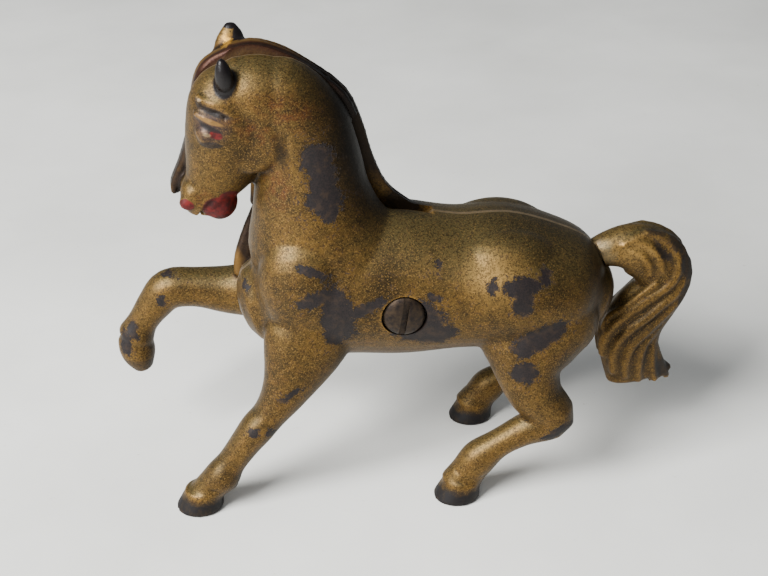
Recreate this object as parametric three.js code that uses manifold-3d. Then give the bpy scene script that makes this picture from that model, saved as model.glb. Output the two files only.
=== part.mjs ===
// A still coin bank: a prancing horse in cast iron, made as two hollow halves that meet on the
// horse's middle plane and are drawn together by one long slotted screw.
//
// Millimetres. The horse looks along -X, its left side faces -Y, +Z is up. The parting plane is
// y = 0. The floor is z = 0, and three hooves stand on it.

import * as THREE from "three";
import Module from "manifold-3d";
import { mergeVertices } from "three/addons/utils/BufferGeometryUtils.js";

// ---------------------------------------------------------------- driving dimensions

const WALL = 3.0; // thickness of the castings
const SEAM = 0.2; // gap left between the two halves

const SLOT_WIDTH = 3.3; // coin slot, across the parting plane
const SLOT_LENGTH = 27; // takes a coin of 24.3 mm
const SLOT_REAR = [6.4, 63.6]; // x, z of the slot's rear end, on the back
const SLOT_LEAN = 127; // degrees, the slot's run from the +X axis, up the crest

const SCREW_AT = [-0.5, 47]; // x, z of the screw's axis
const SCREW_MAJOR = 4.7; // outside diameter of the screw's thread
const SCREW_HEAD = 8.7; // diameter of the head
const HEAD_HEIGHT = 2.3;
const HEAD_SEAT_Y = -13.9; // where the head's underside lies
const SCREW_TIP_Y = 9.5;
const DRIVER_SLOT = [1.3, 1.1]; // width and depth of the slot in the head
const DRIVER_SLOT_LEAN = 8; // degrees from upright
const RECESS = 9.6; // diameter of the round recess around the head
const CLEARANCE_BORE = 5.5; // hole in the left half's boss
const TAPPED_BORE = 5.2; // hole in the right half's boss, thread left out
const BOSS = 11.0; // outside diameter of both bosses
const BOSS_GAP = 0.5; // from each boss's end to the parting plane

const HOOF_SPREAD = 15.0; // y of the standing hooves
const PAINT = { color: 0x8a6a35, roughness: 0.55, metalness: 0.6 };
const STEEL = { color: 0x4a4038, roughness: 0.5, metalness: 0.8 };

// ---------------------------------------------------------------- solids

const wasm = await Module();
wasm.setup();

function solidOf(geometry) {
  const bare = geometry.clone();
  bare.deleteAttribute("normal");
  bare.deleteAttribute("uv");
  const merged = mergeVertices(bare, 1e-4);
  return new wasm.Manifold(new wasm.Mesh({
    numProp: 3,
    vertProperties: new Float32Array(merged.attributes.position.array),
    triVerts: new Uint32Array(merged.index.array),
  }));
}

function geometryOf(solid) {
  const mesh = solid.getMesh();
  const geometry = new THREE.BufferGeometry();
  geometry.setAttribute("position", new THREE.BufferAttribute(mesh.vertProperties, 3));
  geometry.setIndex(new THREE.BufferAttribute(mesh.triVerts, 1));
  geometry.computeVertexNormals();
  return geometry;
}

const join = (solids) => solids.reduce((all, next) => all.add(next));

function box(size, centre, turnY = 0) {
  const geometry = new THREE.BoxGeometry(...size);
  geometry.rotateY(turnY);
  geometry.translate(...centre);
  return solidOf(geometry);
}

// A round bar across the horse, from y0 to y1, at the screw's axis.
function barAcross(diameter, y0, y1, sides = 24) {
  const geometry = new THREE.CylinderGeometry(diameter / 2, diameter / 2, y1 - y0, sides);
  geometry.translate(SCREW_AT[0], (y0 + y1) / 2, SCREW_AT[1]);
  return solidOf(geometry);
}

// A closed skin over a run of oval sections. Each station is
// [x, y, z, across, rise, drop]: the section's centre, its half width across the run (along Y),
// and its reach on the two sides of the centre in the plane of the run.
// Stations are joined by a smooth curve, and each end is closed by a round cap.
function loft(stations, { sides = 12, steps = 2, cap = [0.6, 0.6], square = 2 } = {}) {
  const full = stations.map(([x, y, z, across, rise, drop = rise]) => [x, y, z, across, rise, drop]);
  const centres = new THREE.CatmullRomCurve3(full.map(([x, y, z]) => new THREE.Vector3(x, y, z)));
  const reaches = new THREE.CatmullRomCurve3(full.map((s) => new THREE.Vector3(s[3], s[4], s[5])));
  const rings = [];
  const addRing = (t, shrink, push) => {
    const along = centres.getTangent(t);
    const across = new THREE.Vector3(0, 1, 0).addScaledVector(along, -along.y).normalize();
    const deep = new THREE.Vector3().crossVectors(along, across);
    const reach = reaches.getPoint(t);
    const centre = centres.getPoint(t).addScaledVector(along, push);
    const ring = [];
    for (let i = 0; i < sides; i++) {
      const angle = (2 * Math.PI * (i + 0.5)) / sides;
      const round = (v) => Math.sign(v) * Math.abs(v) ** (2 / square);
      const c = round(Math.cos(angle));
      const s = round(Math.sin(angle));
      ring.push(centre.clone()
        .addScaledVector(across, c * reach.x * shrink)
        .addScaledVector(deep, s * (s > 0 ? reach.y : reach.z) * shrink));
    }
    rings.push(ring);
  };
  const capRings = [0.45, 0.82]; // how far round each cap its two rings lie
  const endReach = (s) => Math.min(s[3], (s[4] + s[5]) / 2);
  const first = cap[0] * endReach(full[0]);
  const last = cap[1] * endReach(full[full.length - 1]);
  const count = (full.length - 1) * steps;
  for (const c of [...capRings].reverse()) addRing(0, Math.sqrt(1 - c * c), -c * first);
  for (let i = 0; i <= count; i++) addRing(i / count, 1, 0);
  for (const c of capRings) addRing(1, Math.sqrt(1 - c * c), c * last);

  const tips = [
    centres.getPoint(0).addScaledVector(centres.getTangent(0), -first),
    centres.getPoint(1).addScaledVector(centres.getTangent(1), last),
  ];
  const points = [...rings.flat(), ...tips].flatMap((p) => [p.x, p.y, p.z]);
  const faces = [];
  const at = (r, i) => r * sides + (i % sides);
  for (let r = 0; r + 1 < rings.length; r++) {
    for (let i = 0; i < sides; i++) {
      faces.push(at(r, i), at(r, i + 1), at(r + 1, i), at(r, i + 1), at(r + 1, i + 1), at(r + 1, i));
    }
  }
  const tipAt = rings.length * sides;
  for (let i = 0; i < sides; i++) {
    faces.push(tipAt, at(0, i + 1), at(0, i));
    faces.push(tipAt + 1, at(rings.length - 1, i), at(rings.length - 1, i + 1));
  }
  const geometry = new THREE.BufferGeometry();
  geometry.setAttribute("position", new THREE.Float32BufferAttribute(points, 3));
  geometry.setIndex(faces);
  return solidOf(geometry);
}

// The same stations with every reach made smaller, for the hollow inside.
const inset = (stations, by) => stations.map(([x, y, z, across, rise, drop = rise]) =>
  [x, y, z, across - by, rise - by, drop - by]);

// ---------------------------------------------------------------- the horse's stations

const BARREL = [
  [-29.7, 0, 43.6, 9, 9.4, 9.8],
  [-25.5, 0, 44.8, 13, 13.8, 13],
  [-18.5, 0, 47.2, 15.4, 17, 15.6],
  [-10, 0, 47.8, 15.8, 17.5, 16.2],
  [1, 0, 47.5, 15.8, 17.5, 16.4],
  [12, 0, 47.6, 16.6, 15.3, 15],
  [22, 0, 47.6, 18, 15.4, 14.7],
  [31, 0, 46.6, 16.8, 13.3, 14.2],
  [37.5, 0, 44.8, 14.2, 11.1, 13],
  [41.2, 0, 43.4, 9.6, 7.2, 9.6],
];

const NECK = [
  [-12, 0, 53.2, 15, 17, 15],
  [-16.5, 0, 61.2, 13, 17, 13.6],
  [-19, 0, 69.2, 11, 12.2, 12.6],
  [-20, 0, 77.2, 9.6, 9.8, 11.7],
  [-22, 0, 85, 8.6, 9, 10.9],
  [-25.4, 0, 91.8, 7.7, 8, 8],
  [-29.4, 0, 94.4, 5.8, 6, 4.6],
];

const HEAD = [
  [-30.5, 0, 95, 5.4, 5, 5.2],
  [-33.6, 0, 90.5, 7.6, 8.6, 8.4],
  [-35, 0, 84, 7.9, 10.4, 8.8],
  [-37.2, 0, 77.4, 6.7, 8.8, 7.4],
  [-39.9, 0, 72, 5.4, 6.4, 5],
  [-41.8, 0, 68.6, 4.9, 5, 3.8],
  [-42.4, 0, 66.7, 4, 3.6, 3],
];

const LEFT_FORELEG = [
  [-16, -7.5, 47.2, 6.5, 8.5],
  [-19.8, -10, 38.2, 6.2, 8, 10.6],
  [-25.2, -12.6, 28.2, 4.8, 4.8, 5.9],
  [-29.3, -13.4, 22.6, 4.2, 3.6, 3.8],
  [-31.9, -14, 19.4, 4.2, 3.5, 4],
  [-34.8, -14.4, 15.2, 3.6, 2.9, 3.8],
  [-37.8, -14.7, 11, 3.3, 2.9, 3.6],
  [-40, -15, 8.2, 3.9, 4, 3.9],
  [-42.4, -15, 5.4, 3.7, 3.3, 3.7],
  [-44.2, -15, 2.6, 3.8, 3.8, 4.2],
];

const LEFT_HIND_LEG = [
  [28, -6, 49.2, 9, 12, 12],
  [27.8, -10, 40.4, 7.2, 13.8, 12],
  [27.2, -11.8, 35, 6.6, 10, 10.9],
  [27, -13.2, 30.6, 5.6, 6.8, 7.6],
  [28.6, -14.4, 25.6, 4.7, 5.6, 6],
  [32.2, -15, 20, 4.1, 4.8, 4.4],
  [26, -15, 16.9, 3.5, 3.6],
  [20.6, -15, 13.6, 3.2, 3.2],
  [16.4, -15, 10, 3.8, 4.1],
  [14, -15, 6.4, 3.6, 4],
  [12.2, -15, 3, 4, 4.6],
];

const RIGHT_HIND_LEG = [
  [28, 6, 49.2, 9, 12, 12],
  [28.4, 10, 40.4, 7.2, 11.6, 11.4],
  [28.8, 11.8, 35, 6.6, 7.6, 9.6],
  [29.6, 13.2, 30.6, 5.6, 6, 7.4],
  [31.8, 14.4, 25.2, 4.7, 5.6, 5.6],
  [35.8, 15, 19.4, 4.1, 4.8, 4.6],
  [30.6, 15, 15.2, 3.5, 3.6],
  [26, 15, 11.6, 3.2, 3.2],
  [22.6, 15, 8.8, 3.8, 4.1],
  [20.6, 15, 6.2, 3.6, 4],
  [18.7, 15, 3, 4, 4.6],
];

const RAISED_FORELEG = [
  [-20, 8, 42.2, 7, 9],
  [-30, 11, 39.7, 6, 6.8],
  [-38, 12, 39.4, 5, 5.6],
  [-45, 12, 40.3, 4.3, 4.6],
  [-51, 12, 40, 4.3, 4.7],
  [-54.6, 12, 36.2, 3.8, 4],
  [-57.6, 12, 31.8, 3.4, 3.5],
  [-59.3, 12, 28.6, 4, 4.2],
];
const RAISED_HOOF = [
  [-59.8, 12, 27.6, 3.5, 3.9],
  [-59.4, 12, 24.6, 3.8, 4.1],
  [-58.9, 12, 22.2, 3.5, 3.5],
  [-58.5, 12, 20.6, 2.9, 2.6],
];

const TAIL = [
  [41, 1.5, 50.6, 3, 3],
  [45.5, 1.5, 52.2, 3.7, 4.2, 4],
  [50.5, 1.5, 52.6, 4.5, 5.5, 6],
  [55.4, 1.5, 49.4, 4.6, 6.9, 6.3],
  [57.2, 1.5, 43.4, 4.6, 7, 5.1],
  [54.4, 1.5, 37.4, 4.6, 6, 6.7],
  [51.8, 1.5, 31.2, 4.5, 5.9, 7.3],
  [52.4, 1.5, 26, 4.3, 6.2, 6.9],
  [53.8, 1.5, 19.6, 3.4, 7.4, 6.4],
];
const TAIL_FLARE = [
  [56, 1.5, 28, 2.3, 1.8],
  [57, 1.5, 23.6, 2.3, 2.2],
  [59.9, 1.5, 19.4, 2.1, 3.2],
];

const MANE_ROLL = [
  [-34, 1.8, 98.7, 1.8, 1.6],
  [-30, 1.8, 99.4, 2.2, 1.8],
  [-25.5, 2, 98.3, 2.6, 2],
  [-20.5, 2, 95.5, 2.8, 2],
  [-12.8, 2.2, 89.2, 3, 2.2],
  [-9.9, 2.2, 82.6, 3, 2],
  [-7.8, 2.2, 75, 2.6, 1.9],
  [-4.4, 2.2, 67.6, 2, 1.5],
  [1, 2, 63.2, 1.4, 1],
];

// Locks that hang from the crest over the right side of the neck, each from crest to tip.
const LOCKS = [
  [[-26, 4, 95.5], [-27, 8.8, 88], [-29, 9, 78], [-29.6, 8.6, 69]],
  [[-21, 4, 93.5], [-24.5, 9.6, 84], [-28, 9.8, 73], [-30.6, 8.6, 62.5]],
  [
    [-15, 4, 89], [-20, 10.6, 79], [-26.2, 11, 66], [-30.8, 9.4, 56.4], [-33.2, 8.2, 49.6],
    [-34.9, 8.6, 45.4],
  ],
  [[-12, 4, 84], [-16, 11.4, 73], [-21, 13, 62], [-26.6, 13, 52]],
  [[-9.5, 4, 77], [-11, 12, 67], [-14.6, 14.6, 58], [-19.5, 15.2, 50]],
];

const FORELOCK = [
  [-30, 2, 100, 2.2, 1.4],
  [-34.6, 2.2, 98.8, 2.2, 1.3],
  [-38.9, 2.5, 96.1, 2.2, 1.3],
  [-40.8, 2.8, 91.6, 2.2, 1.3],
  [-41.6, 3.2, 86.4, 2.2, 1.3],
  [-43.1, 3.8, 79.6, 2, 1.3],
  [-45, 4.3, 74, 1.7, 1.4],
  [-46.8, 4.4, 69.6, 1.4, 1.2],
  [-46.9, 4.4, 67.8, 0.9, 0.8],
];

// ---------------------------------------------------------------- sub-shapes

function lockOfHair(route) {
  const [root, tip] = [[1.8, 2.8], [1.1, 1.7]];
  const middle = [1.5, 3.2];
  const width = (i) => (i === 0 ? root : i === route.length - 1 ? tip : middle);
  return loft(route.map((at, i) => [...at, ...width(i)]), { sides: 8, steps: 1 });
}

// A hoof that stands: a cone cut flat by the floor.
function standingHoof(x, y) {
  const height = 4.4;
  const geometry = new THREE.CylinderGeometry(4.4, 5.1, height, 20);
  geometry.rotateX(Math.PI / 2);
  geometry.scale(1.05, 0.96, 1);
  geometry.translate(x, y, height / 2);
  return solidOf(geometry);
}

function ear(side) {
  const near = [
    [-34.6, -5.5, 94.2, 1.3, 1.3],
    [-34.9, -5.9, 95.8, 1.9, 1.9],
    [-35.2, -6.2, 98.5, 1.6, 1.6],
    [-35.4, -6.4, 100.5, 0.7, 0.8],
  ];
  const far = [
    [-34.2, 4.6, 94.5, 2.4, 3.8],
    [-34, 5.6, 98.6, 2, 3.4],
    [-33.8, 6.3, 101.4, 1.6, 2.5],
    [-33.9, 6.7, 103.1, 0.9, 1.3],
  ];
  return loft(side < 0 ? near : far, { sides: 8, steps: 1 });
}

const standingCap = { cap: [0.6, 0.2] };

// A sphere stretched to its reach along each axis and leant about Y, in degrees.
function swelling([x, y, z], reach, lean = 0) {
  const geometry = new THREE.SphereGeometry(1, 16, 10);
  geometry.scale(...reach);
  geometry.rotateY(THREE.MathUtils.degToRad(lean));
  geometry.translate(x, y, z);
  return solidOf(geometry);
}

// The round jaw, a thick disc proud of the head at its rear that sinks into it at its front.
function cheeks() {
  const half = 8.4;
  const rear = -24.4; // x behind which the disc keeps its full thickness
  const taper = 0.021; // share of the thickness lost in each millimetre forward of that
  const radius = 7.2;
  const rim = 2.2;
  const profile = [[0, -half], [radius - rim, -half], [radius - 0.6, 1 - half], [radius, 2.4 - half]];
  const mirrored = profile.map(([r, y]) => [r, -y]).reverse();
  const points = [...profile, ...mirrored].map(([r, y]) => new THREE.Vector2(r, y));
  const geometry = new THREE.LatheGeometry(points, 20);
  geometry.translate(-31.2, 0, 83.1);
  const place = geometry.attributes.position;
  for (let i = 0; i < place.count; i++) {
    place.setY(i, place.getY(i) * (1 - taper * Math.max(rear - place.getX(i), 0)));
  }
  return solidOf(geometry);
}

function coreSolid() {
  return join([
    loft(BARREL, { sides: 20, square: 2.15 }),
    loft(NECK, { sides: 16 }),
    loft(HEAD, { sides: 16, square: 2.2, cap: [0.6, 0.5] }),
    cheeks(),
    swelling([-37.7, 0, 67.5], [3.7, 4.3, 3.8], 25), // lower lip
    swelling([-28.2, 0, 90.3], [10.8, 8.1, 8.9], 14), // poll
    ...[-1, 1].flatMap((side) => [
      swelling([-42.3, side * 1.4, 70.2], [3.4, 3.7, 3.7]), // muzzle
      swelling([-19.5, side * 7.4, 50.6], [11, 8.7, 14], -12), // shoulder
      swelling([21, side * 7, 52.2], [13.6, 8.4, 9.9]), // point of the hip
      swelling([30.4, side * 5.6, 43.6], [9.4, 10.6, 11.4], 20), // buttock
    ]),
  ]);
}

function hollowSolid() {
  return join([
    loft(inset(BARREL.slice(1, -1), WALL), { sides: 16, square: 2.15, cap: [0.1, 0.1] }),
    loft(inset(NECK, WALL + 0.8), { sides: 12 }),
    loft(inset(HEAD.slice(0, -1), WALL), { sides: 10 }),
  ]);
}

function coinSlot() {
  const lean = THREE.MathUtils.degToRad(SLOT_LEAN);
  const run = [Math.cos(lean), Math.sin(lean)];
  const depth = 18;
  const centre = [0, 1].map((i) => SLOT_REAR[i] + run[i] * SLOT_LENGTH / 2);
  return box([SLOT_LENGTH, SLOT_WIDTH, depth], [centre[0], 0, centre[1]], -lean);
}

// Everything on one side of the parting plane, less the seam's half gap.
function sideOf(solid, side) {
  const reach = 200;
  const keep = box([reach, reach, reach], [0, side * (reach + SEAM) / 2, 60]);
  return solid.intersect(keep);
}

// ---------------------------------------------------------------- the three pieces

const core = coreSolid();
const hollow = hollowSolid();
const slot = coinSlot();

function leftHalf() {
  const recessWall = 2;
  const seatGap = 0.3; // from the head's underside to the recess floor
  const past = 6; // how far outside the seat the cutters begin
  const outside = join([
    sideOf(core, -1),
    loft(LEFT_FORELEG, standingCap),
    standingHoof(-45.6, -HOOF_SPREAD),
    loft(LEFT_HIND_LEG, standingCap),
    standingHoof(11.4, -HOOF_SPREAD),
    ear(-1),
  ]);
  return sideOf(outside, -1)
    .subtract(hollow)
    .add(barAcross(RECESS + 2 * recessWall, HEAD_SEAT_Y - 1, HEAD_SEAT_Y + 3).intersect(core))
    .add(barAcross(BOSS, HEAD_SEAT_Y, -BOSS_GAP).intersect(core))
    .subtract(barAcross(RECESS, HEAD_SEAT_Y - past, HEAD_SEAT_Y + seatGap))
    .subtract(barAcross(CLEARANCE_BORE, HEAD_SEAT_Y - past, 1))
    .subtract(slot);
}

// The barrel made very wide: it trims the near side of the tail to clear the left half,
// both closed and as the halves are drawn apart. Its end caps are the barrel's own.
function tailClearance() {
  const widening = 4;
  const clearance = 0.5;
  const reach = 200;
  const widened = BARREL.map(([x, y, z, across, rise, drop]) =>
    [x, y, z, across * widening, rise, drop]);
  const near = box([reach, reach, reach], [0, (SEAM - reach) / 2, 60]);
  const wide = loft(widened, { sides: 20, square: 2.15 });
  return join([wide, wide.translate(clearance, 0, 0), wide.translate(0, 0, clearance)]).intersect(near);
}

function rightHalf() {
  const tail = loft(TAIL, { sides: 12, cap: [0.6, 0.5] })
    .add(loft(TAIL_FLARE, { sides: 8 }))
    .subtract(tailClearance());
  const outside = join([
    sideOf(core, 1),
    loft(RAISED_FORELEG),
    loft(RAISED_HOOF, { cap: [0.5, 0.6] }),
    loft(RIGHT_HIND_LEG, standingCap),
    standingHoof(18.1, HOOF_SPREAD),
    ear(1),
    loft(MANE_ROLL, { sides: 8, steps: 1 }),
    loft(FORELOCK, { sides: 8, steps: 1 }),
    ...LOCKS.map(lockOfHair),
  ]);
  return sideOf(outside, 1)
    .add(tail)
    .subtract(hollow)
    .add(barAcross(BOSS, BOSS_GAP, -HEAD_SEAT_Y).intersect(core))
    .subtract(barAcross(TAPPED_BORE, -1, SCREW_TIP_Y + 1))
    .subtract(slot);
}

function bodyScrew() {
  const radius = SCREW_HEAD / 2;
  const top = HEAD_SEAT_Y - HEAD_HEIGHT;
  const chamfer = 0.7;
  const profile = [
    [0, SCREW_TIP_Y],
    [SCREW_MAJOR / 2 - chamfer, SCREW_TIP_Y],
    [SCREW_MAJOR / 2, SCREW_TIP_Y - chamfer],
    [SCREW_MAJOR / 2, HEAD_SEAT_Y],
    [radius, HEAD_SEAT_Y],
    [radius, top + chamfer],
    [radius * 0.86, top + 0.25],
    [radius * 0.5, top + 0.05],
    [0, top],
  ].map(([r, y]) => new THREE.Vector2(r, y));
  const geometry = new THREE.LatheGeometry(profile.reverse(), 24);
  geometry.translate(SCREW_AT[0], 0, SCREW_AT[1]);
  const cut = new THREE.BoxGeometry(DRIVER_SLOT[0], DRIVER_SLOT[1] * 2, SCREW_HEAD * 2);
  cut.rotateY(THREE.MathUtils.degToRad(-DRIVER_SLOT_LEAN));
  cut.translate(SCREW_AT[0], top, SCREW_AT[1]);
  return solidOf(geometry).subtract(solidOf(cut));
}

function mesh(name, solid, finish) {
  const made = new THREE.Mesh(geometryOf(solid), new THREE.MeshStandardMaterial(finish));
  made.name = name;
  return made;
}

const horse = new THREE.Group();
horse.add(
  mesh("left_half", leftHalf(), PAINT),
  mesh("right_half", rightHalf(), PAINT),
  mesh("body_screw", bodyScrew(), STEEL),
);

export default horse;
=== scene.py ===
import math

import bmesh
import bpy
import numpy as np
from mathutils import Matrix, Vector
from mathutils.kdtree import KDTree


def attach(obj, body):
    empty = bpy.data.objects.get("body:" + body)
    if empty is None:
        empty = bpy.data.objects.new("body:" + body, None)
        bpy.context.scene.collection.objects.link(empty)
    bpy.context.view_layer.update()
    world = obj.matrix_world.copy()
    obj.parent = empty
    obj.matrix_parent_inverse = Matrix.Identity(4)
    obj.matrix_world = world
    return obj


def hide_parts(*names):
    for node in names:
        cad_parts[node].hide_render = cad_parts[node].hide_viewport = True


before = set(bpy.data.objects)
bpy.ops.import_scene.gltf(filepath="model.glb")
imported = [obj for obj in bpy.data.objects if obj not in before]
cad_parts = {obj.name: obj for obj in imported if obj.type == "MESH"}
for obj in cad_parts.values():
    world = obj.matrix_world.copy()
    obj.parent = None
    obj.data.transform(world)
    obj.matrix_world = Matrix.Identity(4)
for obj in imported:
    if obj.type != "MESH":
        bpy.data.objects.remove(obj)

bl_info = {
    "name": "Prancing Horse Still Bank",
    "version": (1, 0, 0),
    "blender": (4, 5, 0),
    "location": "View3D > Sidebar > Horse Bank",
    "description": "Builds the two castings, the screw and the stage of a cast iron horse bank",
    "category": "Add Mesh",
}

MM = 0.001

# ---------------------------------------------------------------- stations
# Each row of a loft, in millimetres: place x, y, z, reach across, rise, and drop where it
# differs. Rise is up on the barrel, front on the neck and head, back on the legs and the
# outer side on the tail; drop is the opposite way.

BARREL = [
    (-29.7, 0, 43.6, 9, 9.4, 9.8),
    (-25.5, 0, 44.8, 13, 13.8, 13),
    (-18.5, 0, 47.2, 15.4, 17, 15.6),
    (-10, 0, 47.8, 15.8, 17.5, 16.2),
    (1, 0, 47.5, 15.8, 17.5, 16.4),
    (12, 0, 47.6, 16.6, 15.3, 15),
    (22, 0, 47.6, 18, 15.4, 14.7),
    (31, 0, 46.6, 16.8, 13.3, 14.2),
    (37.5, 0, 44.8, 14.2, 11.1, 13),
    (41.2, 0, 43.4, 9.6, 7.2, 9.6),
]

NECK = [
    (-12, 0, 53.2, 15, 17, 15),
    (-16.5, 0, 61.2, 13, 17, 13.6),
    (-19, 0, 69.2, 11, 12.2, 12.6),
    (-20, 0, 77.2, 9.6, 9.8, 11.7),
    (-22, 0, 85, 8.6, 9, 10.9),
    (-25.4, 0, 91.8, 7.7, 8, 8),
    (-29.4, 0, 94.4, 5.8, 6, 4.6),
]

HEAD = [
    (-30.5, 0, 95, 5.4, 5, 5.2),
    (-33.6, 0, 90.5, 7.6, 8.6, 8.4),
    (-35, 0, 84, 7.9, 10.4, 8.8),
    (-37.2, 0, 77.4, 6.7, 8.8, 7.4),
    (-39.9, 0, 72, 5.4, 6.4, 5),
    (-41.8, 0, 68.6, 4.9, 5, 3.8),
    (-42.4, 0, 66.7, 4, 3.6, 3),
]

LEFT_FORELEG = [
    (-16, -7.5, 47.2, 6.5, 8.5),
    (-19.8, -10, 38.2, 6.2, 8, 10.6),
    (-25.2, -12.6, 28.2, 4.8, 4.8, 5.9),
    (-29.3, -13.4, 22.6, 4.2, 3.6, 3.8),
    (-31.9, -14, 19.4, 4.2, 3.5, 4),
    (-34.8, -14.4, 15.2, 3.6, 2.9, 3.8),
    (-37.8, -14.7, 11, 3.3, 2.9, 3.6),
    (-40, -15, 8.2, 3.9, 4, 3.9),
    (-42.4, -15, 5.4, 3.7, 3.3, 3.7),
    (-44.2, -15, 2.6, 3.8, 3.8, 4.2),
]

LEFT_HIND_LEG = [
    (28, -6, 49.2, 9, 12, 12),
    (27.8, -10, 40.4, 7.2, 13.8, 12),
    (27.2, -11.8, 35, 6.6, 10, 10.9),
    (27, -13.2, 30.6, 5.6, 6.8, 7.6),
    (28.6, -14.4, 25.6, 4.7, 5.6, 6),
    (32.2, -15, 20, 4.1, 4.8, 4.4),
    (26, -15, 16.9, 3.5, 3.6),
    (20.6, -15, 13.6, 3.2, 3.2),
    (16.4, -15, 10, 3.8, 4.1),
    (14, -15, 6.4, 3.6, 4),
    (12.2, -15, 3, 4, 4.6),
]

RIGHT_HIND_LEG = [
    (28, 6, 49.2, 9, 12, 12),
    (28.4, 10, 40.4, 7.2, 11.6, 11.4),
    (28.8, 11.8, 35, 6.6, 7.6, 9.6),
    (29.6, 13.2, 30.6, 5.6, 6, 7.4),
    (31.8, 14.4, 25.2, 4.7, 5.6, 5.6),
    (35.8, 15, 19.4, 4.1, 4.8, 4.6),
    (30.6, 15, 15.2, 3.5, 3.6),
    (26, 15, 11.6, 3.2, 3.2),
    (22.6, 15, 8.8, 3.8, 4.1),
    (20.6, 15, 6.2, 3.6, 4),
    (18.7, 15, 3, 4, 4.6),
]

RAISED_FORELEG = [
    (-20, 8, 42.2, 7, 9),
    (-30, 11, 39.7, 6, 6.8),
    (-38, 12, 39.4, 5, 5.6),
    (-45, 12, 40.3, 4.3, 4.6),
    (-51, 12, 40, 4.3, 4.7),
    (-54.6, 12, 36.2, 3.8, 4),
    (-57.6, 12, 31.8, 3.4, 3.5),
    (-59.3, 12, 28.6, 4, 4.2),
]

RAISED_HOOF = [
    (-59.8, 12, 27.6, 3.5, 3.9),
    (-59.4, 12, 24.6, 3.8, 4.1),
    (-58.9, 12, 22.2, 3.5, 3.5),
    (-58.5, 12, 20.6, 2.9, 2.6),
]

TAIL = [
    (41, 1.5, 50.6, 3, 3, 3),
    (45.5, 1.5, 52.2, 3.7, 4.2, 4),
    (50.5, 1.5, 52.6, 4.1, 5.5, 6),
    (55.4, 1.5, 49.4, 4.2, 6.9, 6.3),
    (57.2, 1.5, 43.4, 4.2, 7, 5.1),
    (54.4, 1.5, 37.4, 4.2, 6, 6.7),
    (51.8, 1.5, 31.2, 4.1, 5.9, 7.3),
    (52.4, 1.5, 26, 3.9, 6.2, 6.9),
    (53.8, 1.5, 19.6, 3, 7.4, 6.4),
]

TAIL_FLARE = [
    (56, 1.5, 28, 2, 1.8),
    (57, 1.5, 23.6, 2, 2.2),
    (59.9, 1.5, 19.4, 1.8, 3.2),
]

# Strands of the tail, x and z from the root to the tip, and the width of each.
TAIL_STRANDS = [
    (1.25, [(47.6, 54.6), (52.8, 56.6), (57.6, 54.6), (60.2, 50.4), (59.4, 46), (56, 42.6),
            (52, 39.2), (48.6, 35.8), (46.4, 32.4), (45.6, 29.4), (45.8, 26)]),
    (1.2, [(50.6, 56.2), (56.8, 56.6), (61, 52.6), (62, 48), (60.8, 43.2), (57.6, 40.2), (54.2, 36.6),
           (50.8, 33.6), (48.6, 30.4), (47.8, 26.2), (48.4, 21.6)]),
    (1.2, [(58.4, 55.4), (62.3, 49.6), (62.6, 44.4), (60.6, 39.9), (57.8, 36.5), (54.4, 32.8),
           (51.7, 29.6), (50.7, 25), (51.2, 20.6)]),
    (1.15, [(62, 41.4), (59.4, 36.4), (56.5, 32.6), (54.4, 29.3), (53.7, 24.5), (54.3, 19.4)]),
    (1.15, [(60.8, 38.7), (57.9, 33.3), (56.5, 29.2), (56.8, 24.9), (58.2, 19.2)]),
    (1.15, [(58, 33.6), (57.8, 29), (59, 23.8), (61.4, 18.8)]),
    (1.05, [(49.4, 55.6), (53.2, 54.4), (55.6, 51.6), (56.6, 48.2)]),
    (1.05, [(48.8, 53.6), (51.6, 52.6), (53.4, 50.2), (54, 47.4)]),
    (1.05, [(55.8, 45.4), (53, 42.2), (49.8, 39), (46.6, 35.9), (45, 33)]),
]
TAIL_FAN = 27         # below this height the strands may fan out past the edges
STRAND_SUNK = 0.3     # how much of a strand's radius lies under the face

MANE_ROLL = [
    (-34, 1.8, 98.7, 1.8, 1.6),
    (-30, 1.8, 99.4, 2.2, 1.8),
    (-25.5, 2, 98.3, 2.6, 2),
    (-20.5, 2, 95.5, 2.8, 2),
    (-12.8, 2.2, 89.2, 3, 2.2),
    (-9.9, 2.2, 82.6, 3, 2),
    (-7.8, 2.2, 75, 2.6, 1.9),
    (-4.4, 2.2, 67.6, 2, 1.5),
    (1, 2, 63.2, 1.4, 1),
]

# Strands along the crest and the creases between them: how far each lies out from the mane
# roll's centre line and across the parting plane, and its width.
CREST_STRANDS = [(1.2, -1.5, 0.7), (1.6, -0.2, 0.7), (1.6, 1.1, 0.7), (1.1, 2.4, 0.75), (0, 3.4, 0.8)]
CREST_GROOVES = [(1.95, -0.85, 0.42), (2.15, 0.45, 0.42), (1.95, 1.75, 0.42), (1.1, 3, 0.42)]

# Creases of both sides: the width and the route of each, with y away from the middle plane.
CREASES = [
    # behind the jaw
    (1.3, [(-24.6, 9, 87.6), (-23.8, 9.3, 84.6), (-24, 9.3, 81.6), (-25.3, 9.2, 78.6),
           (-27.4, 8.8, 76.2), (-30.4, 7.6, 74.6)]),
    # brow
    (0.5, [(-41.4, 5.4, 92.2), (-40.4, 6.2, 90.6), (-38, 6.9, 90), (-36, 7.4, 89.6), (-34, 7.7, 87.6)]),
    # under the lid
    (0.42, [(-42, 5.9, 88), (-40.4, 6.9, 87.3), (-38.4, 7.6, 86.7), (-36.4, 8, 85.6)]),
    # under the eye
    (0.4, [(-41.2, 6.4, 84.6), (-39.6, 7.4, 83.2), (-37.4, 8, 82.8), (-35.8, 8.1, 84)]),
    # mouth
    (0.7, [(-42.2, 0, 64.8), (-41, 4.2, 66.8), (-39.6, 5, 68.8), (-37.6, 5.4, 70.4)]),
    # elbow
    (0.7, [(-20.8, 16.5, 41.6), (-19, 16.8, 38.8), (-15.4, 16.6, 37.4), (-12.4, 16, 38.2)]),
]

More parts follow.
